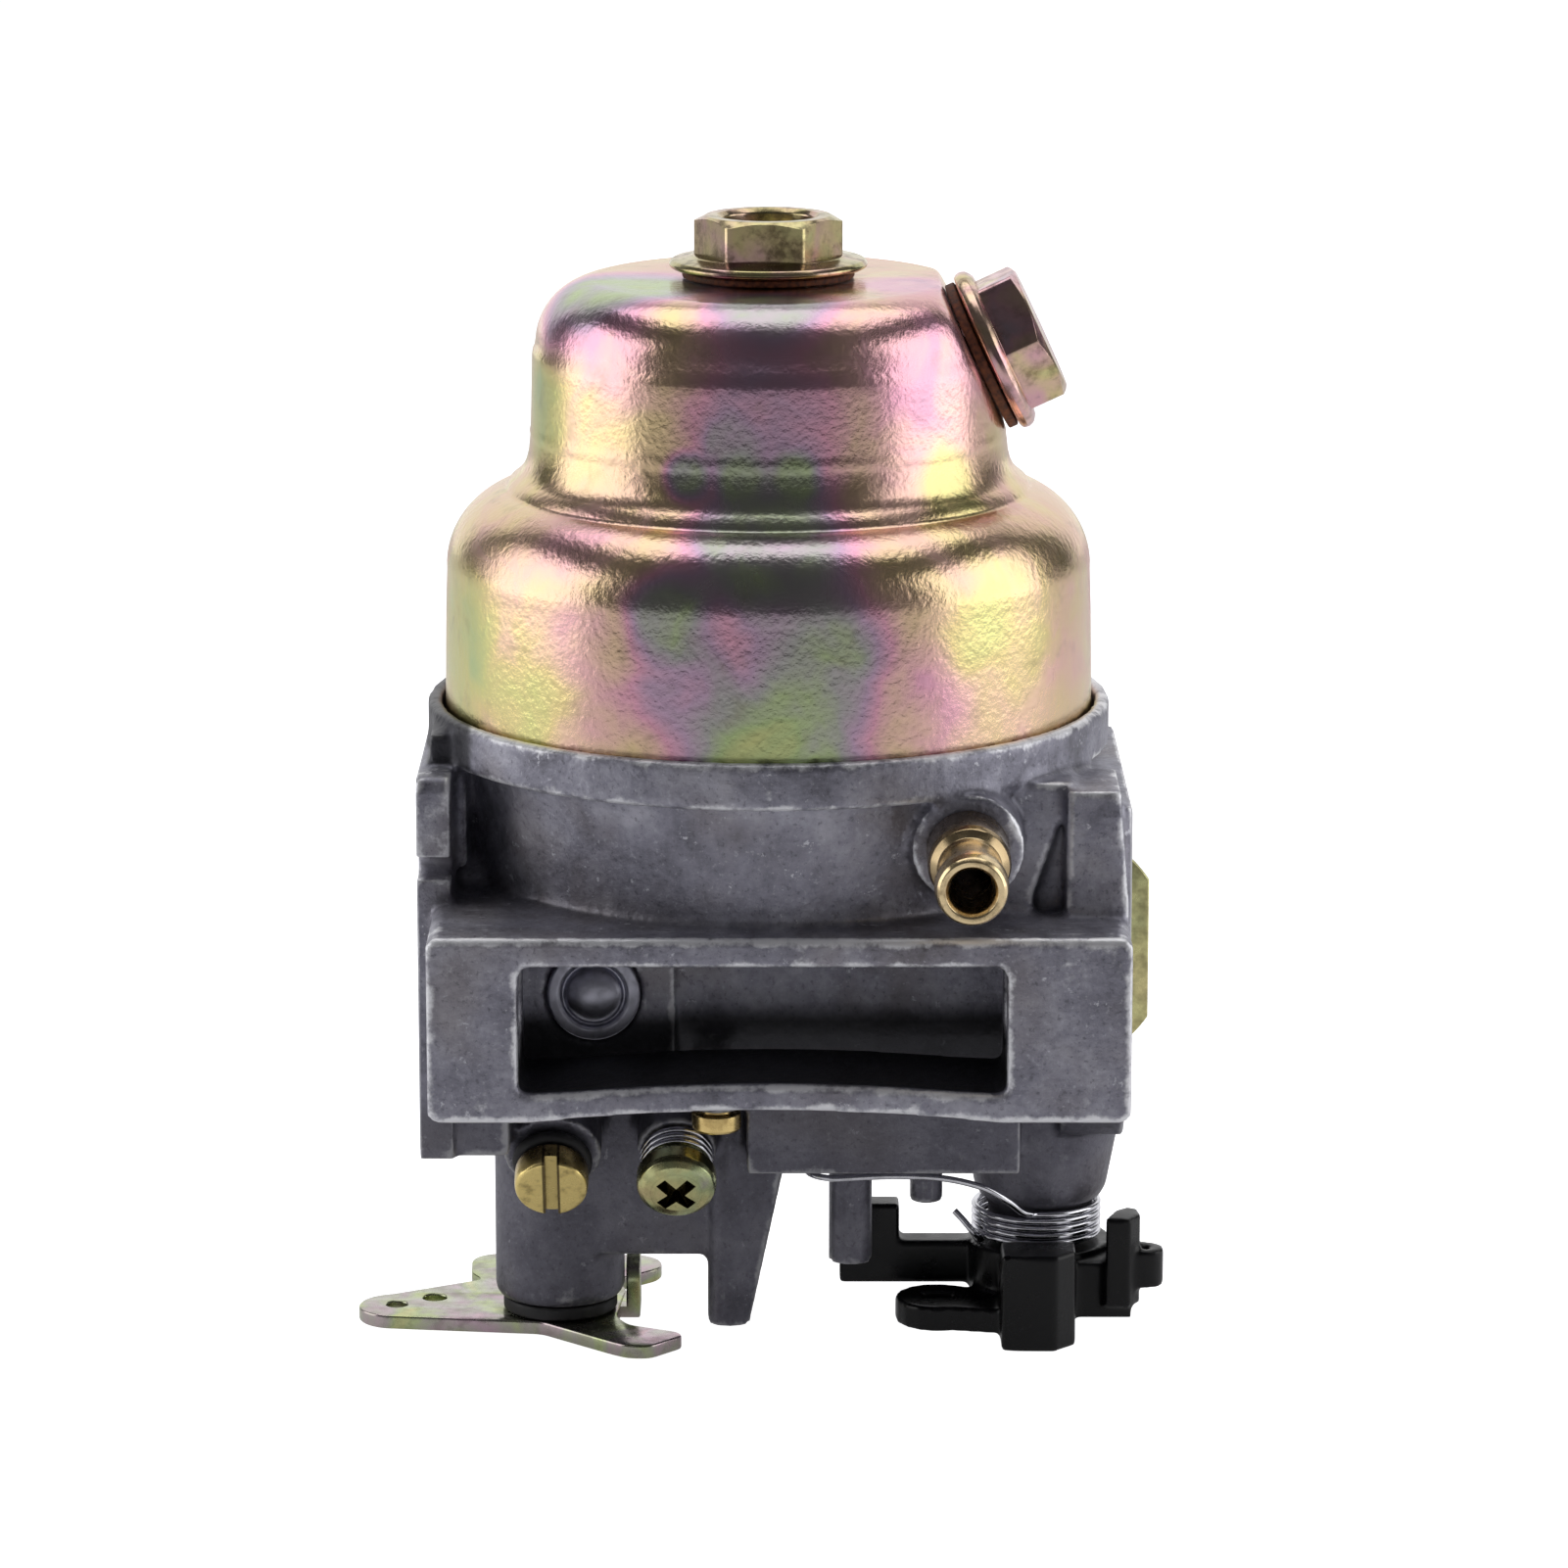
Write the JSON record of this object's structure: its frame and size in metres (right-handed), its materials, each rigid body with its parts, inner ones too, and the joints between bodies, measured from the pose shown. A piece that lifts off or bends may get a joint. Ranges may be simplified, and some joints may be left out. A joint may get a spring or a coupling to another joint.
{
  "type": "float bowl carburetor",
  "caption": "Float-bowl carburetor of a small four-stroke engine, bowl up, with throttle and choke levers, fuel inlet, jets, and a float and needle valve inside.",
  "frame": {"origin": "centre of the bore on the engine flange's face", "axes": "+X along the bore towards the air cleaner, +Z towards the float bowl, -Y towards the fuel inlet"},
  "size_m": [0.0635, 0.0599, 0.0889],
  "materials": {
    "cast_alloy": "die-cast, matt grey with light worn edges",
    "plated_bowl": "yellow zinc plating over pressed steel, satin with pink and green tints",
    "plated_bolt": "yellow zinc plating, bright",
    "plated_lever": "yellow zinc plating with rainbow tints",
    "plated_screw": "yellow zinc plating with pink and green tints",
    "plated_plate": "yellow-green zinc plating, satin",
    "nozzle_brass": "bright",
    "jet_brass": "machined",
    "plate_brass": "satin",
    "bright_steel": "ground",
    "spring_steel": "drawn wire, bright",
    "plug_steel": "dull, with a burnished ball",
    "seal_rubber": "matt black",
    "black_plastic": "moulded, semi-matt black",
    "float_plastic": "off-white, moulded",
    "washer_fibre": "pressed fibre, red-brown"
  },
  "bodies": {
    "housing": {"carburetor_body": "cast_alloy", "float_bowl": "plated_bowl", "bowl_gasket": "seal_rubber", "bowl_bolt": "plated_bolt", "bowl_bolt_washer": "washer_fibre", "drain_bolt": "plated_bolt", "drain_bolt_washer": "washer_fibre", "drain_nut": "plated_bolt", "fuel_inlet_nozzle": "nozzle_brass", "needle_seat": "jet_brass", "float_pin": "bright_steel", "main_jet": "jet_brass", "main_nozzle": "jet_brass", "pilot_jet": "jet_brass", "pilot_jet_oring": "seal_rubber", "idle_passage_plug": "plug_steel", "transfer_passage_plug": "jet_brass", "throttle_shaft_seal": "seal_rubber", "throttle_stop_spring": "spring_steel", "choke_return_spring": "spring_steel"},
    "throttle": {"throttle_shaft": "bright_steel", "throttle_plate": "plate_brass", "throttle_plate_screw_upper": "bright_steel", "throttle_plate_screw_lower": "bright_steel", "throttle_lever": "plated_lever"},
    "choke": {"choke_lever": "black_plastic", "choke_plate": "plated_plate"},
    "float_arm": {"float": "float_plastic"},
    "needle": {"needle_valve": "bright_steel", "needle_clip": "bright_steel"},
    "stop_screw": {"throttle_stop_screw": "plated_screw"}
  },
  "joints": [
    {"name": "throttle_turn", "type": "hinge", "parent": "housing", "child": "throttle", "pos_m": [0.0101, 0, 0], "axis": [0, 0, 1], "range_deg": [0, 75]},
    {"name": "choke_turn", "type": "hinge", "parent": "housing", "child": "choke", "pos_m": [0.048, 0, 0], "axis": [0, 0, 1], "range_deg": [-78, 0], "stiffness_Nm_per_rad": 0.002, "springref_deg": 34.38, "deforming": ["choke_return_spring"]},
    {"name": "float_swing", "type": "hinge", "parent": "housing", "child": "float_arm", "pos_m": [0.03919, -0.01259, 0.0214], "axis": [0.7071, 0.7071, 0], "range_deg": [0, 10]},
    {"name": "needle_slide", "type": "slide", "parent": "housing", "child": "needle", "axis": [0, 0, 1], "range_m": [0, 0.0009]},
    {"name": "stop_screw_turn", "type": "hinge", "parent": "housing", "child": "stop_screw", "pos_m": [0.0195, -0.0078, -0.0142], "axis": [0, -0.8829, -0.4695], "range_deg": [-180, 180]}
  ],
  "couplings": [
    {"joint": "needle_slide", "follows": "float_swing", "m_per_rad": 0.0048}
  ]
}
